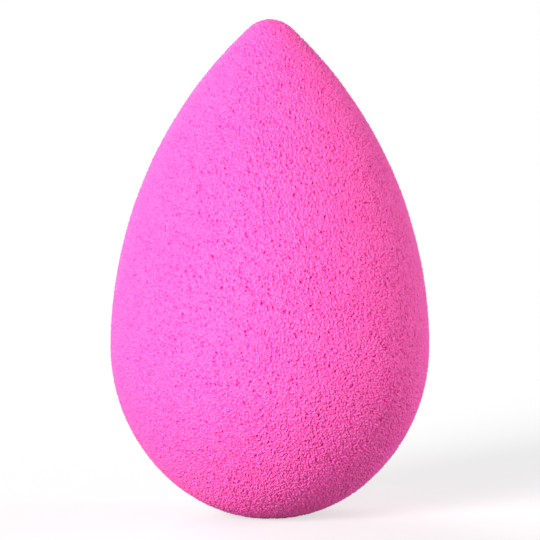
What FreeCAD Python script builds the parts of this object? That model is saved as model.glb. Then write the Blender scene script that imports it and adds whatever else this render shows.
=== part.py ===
# Teardrop makeup sponge: one solid piece of soft foam with a round base, a full belly and a soft point.
# It stands on its base, with +Z towards the point. The origin is the middle of the small flat that the
# foam takes under its own weight. Lengths are in millimetres and angles in degrees.
import FreeCAD
import Part
import Sketcher
import math
import os
from enum import IntEnum

# Each driving size: its name, its value and what it measures.
SIZES = [
    ("standing_height", 60.0, "flat under the base to the top of the point"),
    ("belly_diameter", 38.3, "across the widest part"),
    ("base_radius", 17.8, "round of the base"),
    ("base_spread", 40.0, "angle from the axis at which the round of the base gives way to the belly"),
    ("base_settle", 0.17, "depth by which the round base flattens where it stands"),
    ("tip_radius", 3.7, "round of the point"),
]


class At(IntEnum):
    """The points of a sketch element, by their sketch numbers."""

    START = 1
    END = 2
    CENTRE = 3


class Fixed(IntEnum):
    """A sketch's own elements, by their sketch numbers."""

    ORIGIN = -1
    AXIS = -2


def make_sizes(doc):
    """Writes the driving sizes to a sheet, one row each, with the name as the cell's alias."""
    sheet = doc.addObject("Spreadsheet::Sheet", "Sizes")
    for row, (alias, value, meaning) in enumerate(SIZES, start=1):
        sheet.set(f"A{row}", alias)
        sheet.set(f"B{row}", str(value))
        sheet.set(f"C{row}", meaning)
        sheet.setAlias(f"B{row}", alias)
    doc.recompute()
    return sheet


def add_sketch(body, name, plane_role):
    """A new sketch on one of the body's own origin planes."""
    sketch = body.newObject("Sketcher::SketchObject", name)
    plane = next(f for f in body.Origin.OriginFeatures if f.Role == plane_role)
    sketch.AttachmentSupport = [(plane, "")]
    sketch.MapMode = "FlatFace"
    return sketch


def drive(sketch, name, expression, kind, *where):
    """A named dimension of a sketch, bound to the sheet. Where is what the dimension measures."""
    value = sketch.evalExpression(expression)
    if kind == "Angle":
        value = math.radians(value)
    index = sketch.addConstraint(Sketcher.Constraint(kind, *where, value))
    sketch.renameConstraint(index, name)
    sketch.setExpression(f"Constraints.{name}", expression)


def add_arc(sketch, centre, radius, first, last):
    """An arc that runs anticlockwise between two angles in degrees. Returns its number in the sketch."""
    circle = Part.Circle(centre, FreeCAD.Vector(0, 0, 1), radius)
    return sketch.addGeometry(Part.ArcOfCircle(circle, math.radians(first), math.radians(last)), False)


def draw_profile(body, sheet):
    """Half of the teardrop in the XZ plane: four arcs, each tangent to the next, and the axis.

    The arcs are drawn where the sizes put them, and the constraints then hold them there.
    """
    sketch = add_sketch(body, "teardrop_profile", "XZ_Plane")
    down, level, up = -90.0, 0.0, 90.0
    pole = FreeCAD.Vector(0, -sheet.base_settle, 0)
    top = FreeCAD.Vector(0, sheet.standing_height, 0)

    base_centre = pole + FreeCAD.Vector(0, sheet.base_radius, 0)
    base_end = down + sheet.base_spread
    outward = FreeCAD.Vector(math.cos(math.radians(base_end)), math.sin(math.radians(base_end)), 0)
    base_edge = base_centre + outward * sheet.base_radius

    # The belly leaves the base along the same direction and stands upright at the widest part.
    belly_radius = (sheet.belly_diameter / 2 - base_edge.x) / (1 - outward.x)
    belly_centre = base_edge - outward * belly_radius

    # The flank starts upright at the widest part and runs into the round of the point.
    tip_centre = top - FreeCAD.Vector(0, sheet.tip_radius, 0)
    rise = tip_centre.y - belly_centre.y
    half_width = sheet.belly_diameter / 2
    flank_radius = (half_width**2 + rise**2 - sheet.tip_radius**2) / (2 * (half_width - sheet.tip_radius))
    flank_centre = FreeCAD.Vector(half_width - flank_radius, belly_centre.y, 0)
    flank_end = math.degrees(math.atan2(rise, -flank_centre.x))

    base = add_arc(sketch, base_centre, sheet.base_radius, down, base_end)
    belly = add_arc(sketch, belly_centre, belly_radius, base_end, level)
    flank = add_arc(sketch, flank_centre, flank_radius, level, flank_end)
    point = add_arc(sketch, tip_centre, sheet.tip_radius, flank_end, up)
    axis = sketch.addGeometry(Part.LineSegment(top, pole), False)
    spread = sketch.addGeometry(Part.LineSegment(base_centre, base_edge), True)

    join = Sketcher.Constraint
    sketch.addConstraint([
        join("PointOnObject", base, At.CENTRE, Fixed.AXIS),
        join("PointOnObject", base, At.START, Fixed.AXIS),
        join("Coincident", spread, At.START, base, At.CENTRE),
        join("Coincident", spread, At.END, base, At.END),
        join("Tangent", base, At.END, belly, At.START),
        join("Horizontal", belly, At.CENTRE, belly, At.END),
        join("Tangent", belly, At.END, flank, At.START),
        join("Tangent", flank, At.END, point, At.START),
        join("PointOnObject", point, At.CENTRE, Fixed.AXIS),
        join("PointOnObject", point, At.END, Fixed.AXIS),
        join("Coincident", axis, At.START, point, At.END),
        join("Coincident", axis, At.END, base, At.START),
    ])
    origin = (Fixed.ORIGIN, At.START)
    drive(sketch, "base_round", "Sizes.base_radius", "Radius", base)
    drive(sketch, "base_below", "Sizes.base_settle", "DistanceY", base, At.START, *origin)
    drive(sketch, "base_edge", f"Sizes.base_spread + {down}", "Angle", spread)
    drive(sketch, "half_width", "Sizes.belly_diameter / 2", "DistanceX", *origin, belly, At.END)
    drive(sketch, "point_round", "Sizes.tip_radius", "Radius", point)
    drive(sketch, "top_level", "Sizes.standing_height", "DistanceY", *origin, point, At.END)
    return sketch


def turn_foam(body, profile):
    """The full teardrop, turned about the axis of its profile."""
    foam = body.newObject("PartDesign::Revolution", "teardrop")
    foam.Profile = profile
    foam.ReferenceAxis = (profile, ["V_Axis"])
    foam.Angle = 360
    return foam


def settle_base(body, sheet):
    """Trims the round base level with the surface it stands on, as the soft foam flattens there."""
    outline = add_sketch(body, "settle_outline", "XY_Plane")
    circle = Part.Circle(FreeCAD.Vector(), FreeCAD.Vector(0, 0, 1), sheet.belly_diameter / 2)
    ring = outline.addGeometry(circle, False)
    outline.addConstraint(Sketcher.Constraint("Coincident", ring, At.CENTRE, Fixed.ORIGIN, At.START))
    drive(outline, "reach", "Sizes.belly_diameter", "Diameter", ring)
    flat = body.newObject("PartDesign::Pocket", "settled_base")
    flat.Profile = outline
    flat.Type = "ThroughAll"
    return flat


def check_model(doc, body, foam):
    """Stops before anything is written if a feature failed, or the base wasn't trimmed."""
    for item in doc.Objects:
        if "Invalid" in item.State or "Error" in item.State:
            raise RuntimeError(f"{item.Label} failed: {item.State}")
    if body.Shape.isNull() or not body.Shape.isValid():
        raise RuntimeError(f"{body.Label} has no valid shape")
    if len(body.Shape.Solids) != 1:
        raise RuntimeError(f"{body.Label} isn't one solid")
    if not body.Shape.Volume < foam.Shape.Volume:
        raise RuntimeError("the base wasn't trimmed")


def main():
    """Builds the sponge and writes its solid."""
    doc = FreeCAD.newDocument("makeup_sponge")
    sheet = make_sizes(doc)
    body = doc.addObject("PartDesign::Body", "foam_body")
    body.Label = "foam_body"
    body.Placement = FreeCAD.Placement()
    foam = turn_foam(body, draw_profile(body, sheet))
    doc.recompute()
    settle_base(body, sheet)
    doc.recompute()
    check_model(doc, body, foam)
    os.makedirs("parts", exist_ok=True)
    body.Shape.exportStep(os.path.join("parts", f"{body.Label}.step"))
    box = body.Shape.BoundBox
    print(f"{body.Label}: {box.XLength:.2f} x {box.YLength:.2f} x {box.ZLength:.2f} mm, "
          f"{body.Shape.Volume / 1000:.2f} cm3")


main()
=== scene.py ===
"""Teardrop makeup sponge: soft pink foam with fine cells and open pores, under soft light on a pale floor.

Lengths are in metres, and angles in degrees where a name or docstring says so.
"""

import logging
import math
from dataclasses import dataclass
from enum import Enum

import bpy
import numpy as np
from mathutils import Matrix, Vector, kdtree


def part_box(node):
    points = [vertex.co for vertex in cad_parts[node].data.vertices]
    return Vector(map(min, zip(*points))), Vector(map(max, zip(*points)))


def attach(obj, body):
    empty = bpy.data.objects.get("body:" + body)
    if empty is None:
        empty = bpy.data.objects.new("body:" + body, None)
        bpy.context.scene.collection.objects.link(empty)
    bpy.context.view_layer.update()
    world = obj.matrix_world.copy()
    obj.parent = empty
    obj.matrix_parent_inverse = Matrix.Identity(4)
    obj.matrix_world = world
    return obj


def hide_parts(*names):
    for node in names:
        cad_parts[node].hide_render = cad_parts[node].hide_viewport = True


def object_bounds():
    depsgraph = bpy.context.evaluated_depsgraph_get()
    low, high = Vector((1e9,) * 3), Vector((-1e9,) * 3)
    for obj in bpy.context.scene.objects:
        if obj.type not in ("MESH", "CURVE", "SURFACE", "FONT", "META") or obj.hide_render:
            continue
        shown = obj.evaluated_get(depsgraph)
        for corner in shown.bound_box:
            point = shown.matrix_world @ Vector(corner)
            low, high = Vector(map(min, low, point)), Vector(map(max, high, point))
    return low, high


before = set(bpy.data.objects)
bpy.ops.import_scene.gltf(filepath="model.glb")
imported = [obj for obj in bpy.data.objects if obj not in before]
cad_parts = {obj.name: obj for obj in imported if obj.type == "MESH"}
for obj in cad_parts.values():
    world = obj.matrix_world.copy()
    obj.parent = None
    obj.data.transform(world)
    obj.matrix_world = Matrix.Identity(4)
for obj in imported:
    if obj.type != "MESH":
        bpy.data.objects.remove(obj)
cad_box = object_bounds()

MM = 0.001
LIFT = "lift"
# Points of an outline whose directions, in radians, agree to this many decimal places count as one.
TURN_PLACES = 4
WHITE = (1.0, 1.0, 1.0, 1.0)
log = logging.getLogger("sponge")

Colour = tuple[float, float, float]


class PoreSize(Enum):
    """The sizes of the foam's pores: radius, depth, and how many there are to a square millimetre."""

    FINE = (0.09 * MM, 0.20 * MM, 1.9)
    OPEN = (0.12 * MM, 0.30 * MM, 0.9)
    WIDE = (0.16 * MM, 0.36 * MM, 0.08)

    def __init__(self, radius: float, depth: float, density: float) -> None:
        """Names the three values of a size.

        Args:
            radius: radius of the mouth.
            depth: depth at the middle.
            density: pores to a square millimetre of surface.
        """
        self.radius = radius
        self.depth = depth
        self.density = density


class LumpShape(Enum):
    """The shapes of lump: a noise, its mean value, and 1 or -1 as it rises or falls on a lump."""

    SOFT = ("IMPROVED_PERLIN", 0.5, 1.0)
    ROUND = ("VORONOI_F1", 0.52, -1.0)

    def __init__(self, basis: str, mean: float, sense: float) -> None:
        """Names the three values of a shape.

        Args:
            basis: the noise.
            mean: its mean value.
            sense: 1 if it rises on a lump, or -1 if it falls.
        """
        self.basis = basis
        self.mean = mean
        self.sense = sense


class BackdropRay(Enum):
    """The rays that see the plain white studio, by the names of Light Path's outputs."""

    CAMERA = "Is Camera Ray"
    GLOSSY = "Is Glossy Ray"
    TRANSMISSION = "Is Transmission Ray"


def direction(bearing: float, height: float) -> Vector:
    """The way from the sponge to something round it.

    Args:
        bearing: degrees to the right of the photo's camera.
        height: degrees above the floor.

    Returns:
        A unit vector.
    """
    turn = math.radians(bearing)
    rise = math.radians(height)
    return Vector((math.sin(turn) * math.cos(rise), -math.cos(turn) * math.cos(rise), math.sin(rise)))


def backdrop_factor(tree: bpy.types.NodeTree) -> bpy.types.NodeSocket:
    """Adds nodes that tell the rays that see the white studio from those that light the sponge.

    Args:
        tree: the node tree of a material or world.

    Returns:
        An output that is 1 for camera, glossy and transmission rays, and 0 for the rest.
    """
    path = tree.nodes.new("ShaderNodeLightPath")
    found = None
    for ray in BackdropRay:
        output = path.outputs[ray.value]
        if found is None:
            found = output
            continue
        larger = tree.nodes.new("ShaderNodeMath")
        larger.operation = "MAXIMUM"
        tree.links.new(found, larger.inputs[0])
        tree.links.new(output, larger.inputs[1])
        found = larger.outputs["Value"]
    return found


@dataclass(frozen=True)
class FoamFinish:
    """Pink foam with light and shade painted into its colour by depth: paler on its nubs as painted
    highlight, darker in its hollows and pores as painted shade, with a faint uneven shine.

    Attributes:
        name: the material's name.
        nub_pink_painted_highlight: the colour of the nubs, paler as painted highlight.
        pink: the colour of the hollows between them, darker as painted shade.
        pore_pink_painted_shade: the colour inside the pores, darkest as painted shade.
        hollow: the lift of the hollows, from 0 in a pore to 1 on a nub.
        dye_spread: how unevenly the foam took its colour, as a part of the lift.
        mottle_size: the size of the dye's patches.
        grain_size: the size of the finest grain.
        grain_height: its height.
        grain_range: the values of its noise at which the skins are smoothest and roughest.
        finer_layers: how many finer layers the noises have.
        smooth: the least roughness of the cells' skins.
        rough: their greatest roughness.
        shine: the strength of their shine.
    """

    name: str = "pink_foam"
    # Painted light and shade by depth: the nubs' colour is paler as painted highlight, and the hollows'
    # and pores' colours are darker as painted shade.
    nub_pink_painted_highlight: Colour = (0.985, 0.182, 0.555)
    pink: Colour = (0.975, 0.036, 0.395)
    pore_pink_painted_shade: Colour = (0.760, 0.008, 0.370)
    hollow: float = 0.32
    dye_spread: float = 0.05
    mottle_size: float = 5.0 * MM
    grain_size: float = 0.16 * MM
    grain_height: float = 0.02 * MM
    grain_range: tuple[float, float] = (0.3, 0.7)
    finer_layers: float = 2.0
    smooth: float = 0.46
    rough: float = 0.60
    shine: float = 0.12

    def make(self) -> bpy.types.Material:
        """Builds the material.

        Returns:
            The foam's material, which reads the object's own coordinates and the lift of its surface.
        """
        material = bpy.data.materials.new(self.name)
        material.use_nodes = True
        tree = material.node_tree
        foam = tree.nodes["Principled BSDF"]
        foam.inputs["Specular IOR Level"].default_value = self.shine
        place = tree.nodes.new("ShaderNodeTexCoord").outputs["Object"]
        mottle = self._noise(tree, place, self.mottle_size)
        grain = self._noise(tree, place, self.grain_size)
        self._colour(tree, foam, mottle)
        self._surface(tree, foam, grain)
        return material

    def _noise(
        self, tree: bpy.types.NodeTree, place: bpy.types.NodeSocket, size: float
    ) -> bpy.types.NodeSocket:
        """Adds a noise of a real size.

        Args:
            tree: the material's node tree.
            place: the coordinates that it reads.
            size: the size of its spots.

        Returns:
            Its value, from 0 to 1.
        """
        noise = tree.nodes.new("ShaderNodeTexNoise")
        noise.inputs["Scale"].default_value = 1.0 / size
        noise.inputs["Detail"].default_value = self.finer_layers
        tree.links.new(place, noise.inputs["Vector"])
        return noise.outputs["Fac"]

    def _colour(
        self, tree: bpy.types.NodeTree, foam: bpy.types.Node, mottle: bpy.types.NodeSocket
    ) -> None:
        """Paints light and shade into the foam's colour by the lift of its surface, a little unevenly:
        painted highlight on the nubs, painted shade in the hollows and pores.

        Args:
            tree: the material's node tree.
            foam: the shader.
            mottle: the noise that spreads the colour unevenly.
        """
        lift = tree.nodes.new("ShaderNodeAttribute")
        lift.attribute_name = LIFT
        uneven = tree.nodes.new("ShaderNodeMapRange")
        uneven.inputs["To Min"].default_value = -self.dye_spread
        uneven.inputs["To Max"].default_value = self.dye_spread
        tree.links.new(mottle, uneven.inputs["Value"])
        total = tree.nodes.new("ShaderNodeMath")
        total.operation = "ADD"
        total.use_clamp = True
        tree.links.new(lift.outputs["Fac"], total.inputs[0])
        tree.links.new(uneven.outputs["Result"], total.inputs[1])
        # This ramp paints shade by depth: darkest deep in a pore, pink in the hollows, paler on the nubs
        # as painted highlight.
        painted_shade_ramp = tree.nodes.new("ShaderNodeValToRGB")
        stops = painted_shade_ramp.color_ramp.elements
        stops[0].color = (*self.pore_pink_painted_shade, 1.0)
        stops.new(self.hollow).color = (*self.pink, 1.0)
        stops[2].color = (*self.nub_pink_painted_highlight, 1.0)
        tree.links.new(total.outputs["Value"], painted_shade_ramp.inputs["Fac"])
        tree.links.new(painted_shade_ramp.outputs["Color"], foam.inputs["Base Color"])

    def _surface(
        self, tree: bpy.types.NodeTree, foam: bpy.types.Node, grain: bpy.types.NodeSocket
    ) -> None:
        """Gives the cells' skins their uneven shine and finest roughness.

        Args:
            tree: the material's node tree.
            foam: the shader.
            grain: the noise of the cells' skins.
        """
        spread = tree.nodes.new("ShaderNodeMapRange")
        spread.inputs["From Min"].default_value = self.grain_range[0]
        spread.inputs["From Max"].default_value = self.grain_range[1]
        spread.inputs["To Min"].default_value = self.smooth
        spread.inputs["To Max"].default_value = self.rough
        tree.links.new(grain, spread.inputs["Value"])
        tree.links.new(spread.outputs["Result"], foam.inputs["Roughness"])
        bump = tree.nodes.new("ShaderNodeBump")
        bump.inputs["Distance"].default_value = self.grain_height
        tree.links.new(grain, bump.inputs["Height"])
        tree.links.new(bump.outputs["Normal"], foam.inputs["Normal"])


@dataclass(frozen=True)
class FloorFinish:
    """A pale floor that the camera sees as white, apart from the sponge's shadow.

    Attributes:
        name: the material's name.
        pale: the part of the light that the floor gives back.
    """

    name: str = "pale_floor"
    pale: float = 0.4

    def make(self, light: float) -> bpy.types.Material:
        """Builds the material.

        Args:
            light: how bright the lamps and the world make white paper on the floor, with 1 as white.

        Returns:
            The floor's material, which makes up what the light leaves short of white.
        """
        material = bpy.data.materials.new(self.name)
        material.use_nodes = True
        tree = material.node_tree
        tree.nodes.remove(tree.nodes["Principled BSDF"])
        matt = tree.nodes.new("ShaderNodeBsdfDiffuse")
        matt.inputs["Color"].default_value = (self.pale, self.pale, self.pale, 1.0)
        white = tree.nodes.new("ShaderNodeEmission")
        seen = tree.nodes.new("ShaderNodeMath")
        seen.operation = "MULTIPLY"
        seen.inputs[1].default_value = max(0.0, 1.0 - self.pale * light)
        tree.links.new(backdrop_factor(tree), seen.inputs[0])
        tree.links.new(seen.outputs["Value"], white.inputs["Strength"])
        both = tree.nodes.new("ShaderNodeAddShader")
        tree.links.new(matt.outputs["BSDF"], both.inputs[0])
        tree.links.new(white.outputs["Emission"], both.inputs[1])
        tree.links.new(both.outputs["Shader"], tree.nodes["Material Output"].inputs["Surface"])
        return material


@dataclass(frozen=True)
class Section:
    """Half of a round body's outline, from the middle of its base up to its top.

    Attributes:
        radii: distances from the axis.
        heights: heights above the floor.
        shares: the share of the body's surface that lies below each point.
    """

    radii: np.ndarray
    heights: np.ndarray
    shares: np.ndarray

    @classmethod
    def of_node(cls, node: str) -> "Section":
        """Reads the outline of a CAD node that is round about the Z axis.

        Args:
            node: the node's name.

        Returns:
            Its outline.
        """
        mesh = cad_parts[node].data
        points = np.empty(len(mesh.vertices) * 3, np.float32)
        mesh.vertices.foreach_get("co", points)
        points = points.reshape(-1, 3).astype(float)
        radii = np.hypot(points[:, 0], points[:, 1])
        heights = points[:, 2]
        middle = (heights.min() + heights.max()) / 2
        turns = np.round(np.arctan2(heights - middle, radii), TURN_PLACES)
        order = np.unique(turns, return_index=True)[1]
        radii = np.concatenate([[0.0], radii[order], [0.0]])
        heights = np.concatenate([[heights.min()], heights[order], [heights.max()]])
        rings = (radii[1:] + radii[:-1]) * np.hypot(np.diff(radii), np.diff(heights))
        below = np.concatenate([[0.0], np.cumsum(rings)])
        return cls(radii, heights, below / below[-1])

    def at(self, shares: np.ndarray) -> tuple[np.ndarray, np.ndarray]:
        """The outline's points that have these shares of the surface below them.

        Args:
            shares: shares from 0 to 1.

        Returns:
            Their distances from the axis, and their heights.
        """
        return np.interp(shares, self.shares, self.radii), np.interp(shares, self.shares, self.heights)


@dataclass(frozen=True)
class Unevenness:
    """A layer of lumps that displaces the foam's surface.

    Attributes:
        name: what the layer is.
        shape: the shape of its lumps.
        spacing: the scale of its noise.
        height: how far lumps stand above hollows.
    """

    name: str
    shape: LumpShape
    spacing: float
    height: float

    def press(self, piece: bpy.types.Object) -> None:
        """Displaces a piece by this layer.

        Args:
            piece: the active object.
        """
        lumps = bpy.data.textures.new(self.name, "CLOUDS")
        lumps.noise_basis = self.shape.basis
        lumps.noise_scale = self.spacing
        lumps.noise_depth = 0
        modifier = piece.modifiers.new(self.name, "DISPLACE")
        modifier.texture = lumps
        modifier.texture_coords = "LOCAL"
        modifier.strength = self.height * self.shape.sense
        modifier.mid_level = self.shape.mean
        bpy.ops.object.modifier_apply(modifier=modifier.name)


@dataclass
class FoamBody:
    """The sponge itself: a block of foam in the CAD solid's form, with the foam's own surface.

    Attributes:
        name: the piece's name.
        node: the CAD node that it stands for.
        body: the body that it rides on.
        slot: its material slot; not used.
        fill: the share of the CAD solid that it fills; not used.
        cuts: the cuts across each side of the block at first.
        halvings: how often those squares are then halved.
        side_margin: the gap round each side of the block on its map, as a part of the side.
        seed: the seed of the pores' places.
        settling: the slow unevenness of the whole form.
        clumps: the faint lumps of many cells.
        cells: the nubs of single cells.
        pore_spread: how far a pore's radius may differ from its size's radius, as a part of it.
        lowest: the depth at which the lift is 0.
        highest: the height at which the lift is 1.
    """

    name: str = "sponge_foam"
    node: str = "foam_body"
    body: str = "root"
    slot: str = "pink_foam"
    fill: float = 1.0
    cuts: int = 24
    halvings: int = 4
    side_margin: float = 0.008
    seed: int = 7
    settling: Unevenness = Unevenness("settling", LumpShape.SOFT, 7.0 * MM, 0.10 * MM)
    clumps: Unevenness = Unevenness("clumps", LumpShape.SOFT, 0.5 * MM, 0.02 * MM)
    cells: Unevenness = Unevenness("cells", LumpShape.ROUND, 0.22 * MM, 0.36 * MM)
    pore_spread: float = 0.25
    lowest: float = -0.34 * MM
    highest: float = 0.16 * MM

    def build(self) -> bpy.types.Object:
        """Makes the sponge's mesh, puts it on its body and hides the CAD node that it stands for.

        Returns:
            The finished piece, without its finish.
        """
        piece = self._blank()
        self._mould(piece)
        self.settling.press(piece)
        formed = self._points(piece)
        normals = self._normals(piece)
        self.clumps.press(piece)
        self.cells.press(piece)
        self._open_pores(piece, normals)
        self._note_lift(piece, ((self._points(piece) - formed) * normals).sum(axis=1))
        self._press_base(piece)
        bpy.ops.object.shade_smooth()
        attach(piece, self.body)
        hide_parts(self.node)
        return piece

    def dress(self, piece: bpy.types.Object, finish: FoamFinish) -> None:
        """Gives the piece its finish."""
        piece.data.materials.append(finish.make())

    def _blank(self) -> bpy.types.Object:
        """Starts from a block that reaches from -1 to 1 on each axis, cut into small squares all over.

        Returns:
            The block, with its six sides laid out on its map.
        """
        bpy.ops.object.select_all(action="DESELECT")
        bpy.ops.mesh.primitive_cube_add(size=2.0)
        piece = bpy.context.object
        piece.name = self.name
        piece.data.name = self.name
        self._lay_out(piece.data)
        bpy.ops.object.mode_set(mode="EDIT")
        bpy.ops.mesh.select_all(action="SELECT")
        bpy.ops.mesh.subdivide(number_cuts=self.cuts)
        bpy.ops.object.mode_set(mode="OBJECT")
        finer = piece.modifiers.new("finer", "SUBSURF")
        finer.subdivision_type = "SIMPLE"
        finer.uv_smooth = "NONE"
        finer.levels = self.halvings
        finer.render_levels = self.halvings
        bpy.ops.object.modifier_apply(modifier=finer.name)
        return piece

    def _lay_out(self, mesh: bpy.types.Mesh) -> None:
        """Lays the block's six sides on its map in two rows of three.

        Args:
            mesh: the block's mesh, before it is cut.
        """
        columns, rows = 3, 2
        room = 1.0 - 2.0 * self.side_margin
        corners = ((0.0, 0.0), (1.0, 0.0), (1.0, 1.0), (0.0, 1.0))
        layer = mesh.uv_layers.active
        layer.name = "OFBake"
        for side in mesh.polygons:
            row, column = divmod(side.index, columns)
            for loop, (across, up) in zip(side.loop_indices, corners):
                u = (column + self.side_margin + across * room) / columns
                v = (row + self.side_margin + up * room) / rows
                layer.data[loop].uv = (u, v)

    def _mould(self, piece: bpy.types.Object) -> None:
        """Rounds the block to a ball of even squares, then draws the ball out to the CAD solid's outline.

        Args:
            piece: the cut block.
        """
        ball = np.tan(self._points(piece) * math.pi / 4)
        ball /= np.linalg.norm(ball, axis=1, keepdims=True)
        radii, heights = Section.of_node(self.node).at((1 + ball[:, 2]) / 2)
        turns = np.arctan2(ball[:, 1], ball[:, 0])
        self._move(piece, np.stack([radii * np.cos(turns), radii * np.sin(turns), heights], axis=1))

    def _open_pores(self, piece: bpy.types.Object, normals: np.ndarray) -> None:
        """Sinks the pores into the foam.

        Args:
            piece: the roughened foam.
            normals: the way out of the foam at each point.
        """
        draw = np.random.default_rng(self.seed)
        points = self._points(piece)
        area = sum(side.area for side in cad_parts[self.node].data.polygons)
        tree = kdtree.KDTree(len(points))
        for index, point in enumerate(points):
            tree.insert(point, index)
        tree.balance()
        sunk = np.zeros(len(points))
        for size in PoreSize:
            count = round(size.density * area / MM**2)
            for middle in draw.integers(len(points), size=count):
                wide = size.radius * draw.uniform(1 - self.pore_spread, 1 + self.pore_spread)
                for _, index, reach in tree.find_range(points[middle], wide):
                    bowl = math.sqrt(max(0.0, 1 - (reach / wide) ** 2))
                    sunk[index] = max(sunk[index], size.depth * bowl)
        self._move(piece, points - normals * sunk[:, None])

    def _note_lift(self, piece: bpy.types.Object, heights: np.ndarray) -> None:
        """Notes for the finish how far each point stands out, from 0 deep in a pore to 1 on a high nub.

        Args:
            piece: the finished foam.
            heights: how far each point lies outside the smooth form.
        """
        lift = np.clip((heights - self.lowest) / (self.highest - self.lowest), 0.0, 1.0)
        note = piece.data.attributes.new(LIFT, "FLOAT", "POINT")
        note.data.foreach_set("value", lift.astype(np.float32))

    def _press_base(self, piece: bpy.types.Object) -> None:
        """Keeps the foam above the surface that it stands on."""
        points = self._points(piece)
        points[:, 2] = np.maximum(points[:, 2], cad_box[0].z)
        self._move(piece, points)

    def _points(self, piece: bpy.types.Object) -> np.ndarray:
        """The places of a piece's points, one row each."""
        points = np.empty(len(piece.data.vertices) * 3, np.float32)
        piece.data.vertices.foreach_get("co", points)
        return points.reshape(-1, 3).astype(float)

    def _normals(self, piece: bpy.types.Object) -> np.ndarray:
        """The ways out of a piece at its points, one row each."""
        normals = np.empty(len(piece.data.vertices) * 3, np.float32)
        piece.data.vertices.foreach_get("normal", normals)
        return normals.reshape(-1, 3).astype(float)

    def _move(self, piece: bpy.types.Object, points: np.ndarray) -> None:
        """Puts a piece's points in new places.

        Args:
            piece: the piece.
            points: one row for each point.
        """
        piece.data.vertices.foreach_set("co", points.astype(np.float32).ravel())
        piece.data.update()


@dataclass(frozen=True)
class SoftLamp:
    """A wide, soft studio lamp, far enough away to light the sponge and the floor evenly.

    Attributes:
        name: the lamp's name.
        bearing: degrees to the right of the photo's camera.
        height: degrees above the floor.
        width: degrees across, as the sponge sees it.
        level: how bright it makes white paper that faces it, with 1 as white.
    """

    name: str
    bearing: float
    height: float
    width: float
    level: float

    def hang(self) -> bpy.types.Object:
        """Hangs the lamp.

        Returns:
            The lamp.
        """
        data = bpy.data.lights.new(self.name, "SUN")
        data.angle = math.radians(self.width)
        data.energy = self.level * math.pi
        lamp = bpy.data.objects.new(self.name, data)
        lamp.rotation_mode = "QUATERNION"
        lamp.rotation_quaternion = direction(self.bearing, self.height).to_track_quat("Z", "Y")
        bpy.context.scene.collection.objects.link(lamp)
        return lamp

    def on_floor(self) -> float:
        """How bright the lamp makes white paper that lies on the floor."""
        return self.level * math.sin(math.radians(self.height))


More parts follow.
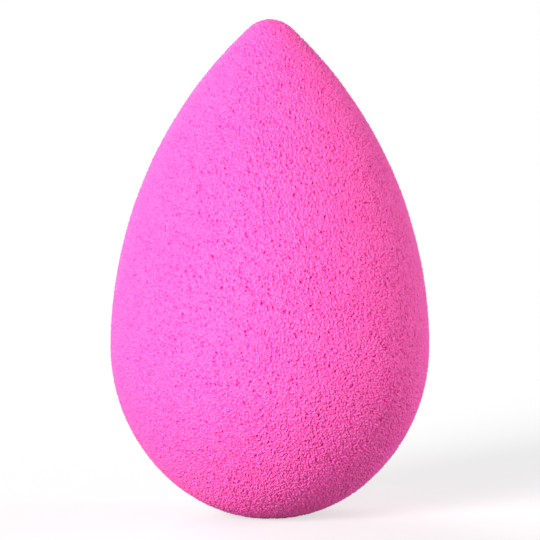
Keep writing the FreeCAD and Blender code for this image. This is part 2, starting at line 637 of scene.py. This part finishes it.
@dataclass
class Studio:
    """The pale floor, the white surroundings and the lamps.

    Attributes:
        floor_width: the floor's width.
        floor_finish: its finish.
        ambient: the level of the even light from all round, with 1 as white.
        lamps: the lamps.
    """

    floor_width: float = 40.0
    floor_finish: FloorFinish = FloorFinish()
    ambient: float = 0.15
    lamps: tuple[SoftLamp, ...] = (
        SoftLamp("key_lamp", -36.0, 17.0, 26.0, 1.46),
        SoftLamp("fill_lamp", 40.0, 10.0, 30.0, 0.10),
        SoftLamp("rim_lamp", 97.0, 6.0, 28.0, 0.78),
        SoftLamp("back_lamp", -150.0, 25.0, 40.0, 0.6),
    )

    def build(self) -> None:
        """Sets up the floor, surroundings and lamps."""
        self._lay_floor()
        self._surround()
        for lamp in self.lamps:
            log.info("lamp %s", lamp.hang().name)

    def _lay_floor(self) -> None:
        """Lays the floor level with the foot of the CAD solid."""
        bpy.ops.object.select_all(action="DESELECT")
        bpy.ops.mesh.primitive_plane_add(size=self.floor_width, location=(0.0, 0.0, cad_box[0].z))
        floor = bpy.context.object
        floor.name = "floor"
        light = self.ambient + sum(lamp.on_floor() for lamp in self.lamps)
        floor.data.materials.append(self.floor_finish.make(light))

    def _surround(self) -> None:
        """Gives the world a dim even light, and makes it white where it is seen."""
        world = bpy.data.worlds.new("studio")
        bpy.context.scene.world = world
        world.use_nodes = True
        tree = world.node_tree
        dim = tree.nodes["Background"]
        dim.inputs["Color"].default_value = WHITE
        dim.inputs["Strength"].default_value = self.ambient
        white = tree.nodes.new("ShaderNodeBackground")
        white.inputs["Color"].default_value = WHITE
        white.inputs["Strength"].default_value = 1.0
        mix = tree.nodes.new("ShaderNodeMixShader")
        tree.links.new(backdrop_factor(tree), mix.inputs["Fac"])
        tree.links.new(dim.outputs["Background"], mix.inputs[1])
        tree.links.new(white.outputs["Background"], mix.inputs[2])
        tree.links.new(mix.outputs["Shader"], tree.nodes["World Output"].inputs["Surface"])


@dataclass
class PhotoCamera:
    """The camera at the photo's angle, set so that the sponge spans the same rows of a square picture.

    Attributes:
        picture_rows: the picture's height in pixels.
        top_row: the row of the sponge's top.
        foot_row: the row of its foot.
        height: degrees above level.
        reach: the distance to the middle of the sponge.
    """

    picture_rows: float = 540.0
    top_row: float = 19.1
    foot_row: float = 521.2
    height: float = 5.0
    reach: float = 0.5

    def place(self, node: str) -> None:
        """Makes the camera and aims it.

        Args:
            node: the CAD node that it frames.
        """
        low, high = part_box(node)
        middle = (low + high) / 2
        data = bpy.data.cameras.new("photo_camera")
        camera = bpy.data.objects.new("photo_camera", data)
        bpy.context.scene.collection.objects.link(camera)
        bpy.context.scene.camera = camera
        camera.location = middle + direction(0.0, self.height) * self.reach
        rises = self._rises(node, camera.location)
        top, foot = math.tan(max(rises)), math.tan(min(rises))
        span = top - foot
        rows_apart = self.foot_row - self.top_row
        data.lens = data.sensor_width * rows_apart / self.picture_rows / span
        centre_row = (self.top_row + self.foot_row) / 2 - self.picture_rows / 2
        aim = math.atan((top + foot) / 2 + span * centre_row / rows_apart)
        camera.rotation_euler = (math.pi / 2 + aim, 0.0, 0.0)

    def _rises(self, node: str, eye: Vector) -> list[float]:
        """The angles, in radians above the horizon, at which an eye sees a node's points."""
        return [
            math.atan2(vertex.co.z - eye.z, math.hypot(vertex.co.x - eye.x, vertex.co.y - eye.y))
            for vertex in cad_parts[node].data.vertices
        ]


def main() -> None:
    """Builds the sponge, the studio and the camera."""
    logging.basicConfig(level=logging.INFO, format="%(name)s: %(message)s")
    bpy.context.scene.view_settings.view_transform = "Standard"
    sponge = FoamBody()
    piece = sponge.build()
    sponge.dress(piece, FoamFinish())
    log.info("piece %s has %d faces", piece.name, len(piece.data.polygons))
    Studio().build()
    PhotoCamera().place(sponge.node)


if __name__ == "__main__":
    main()
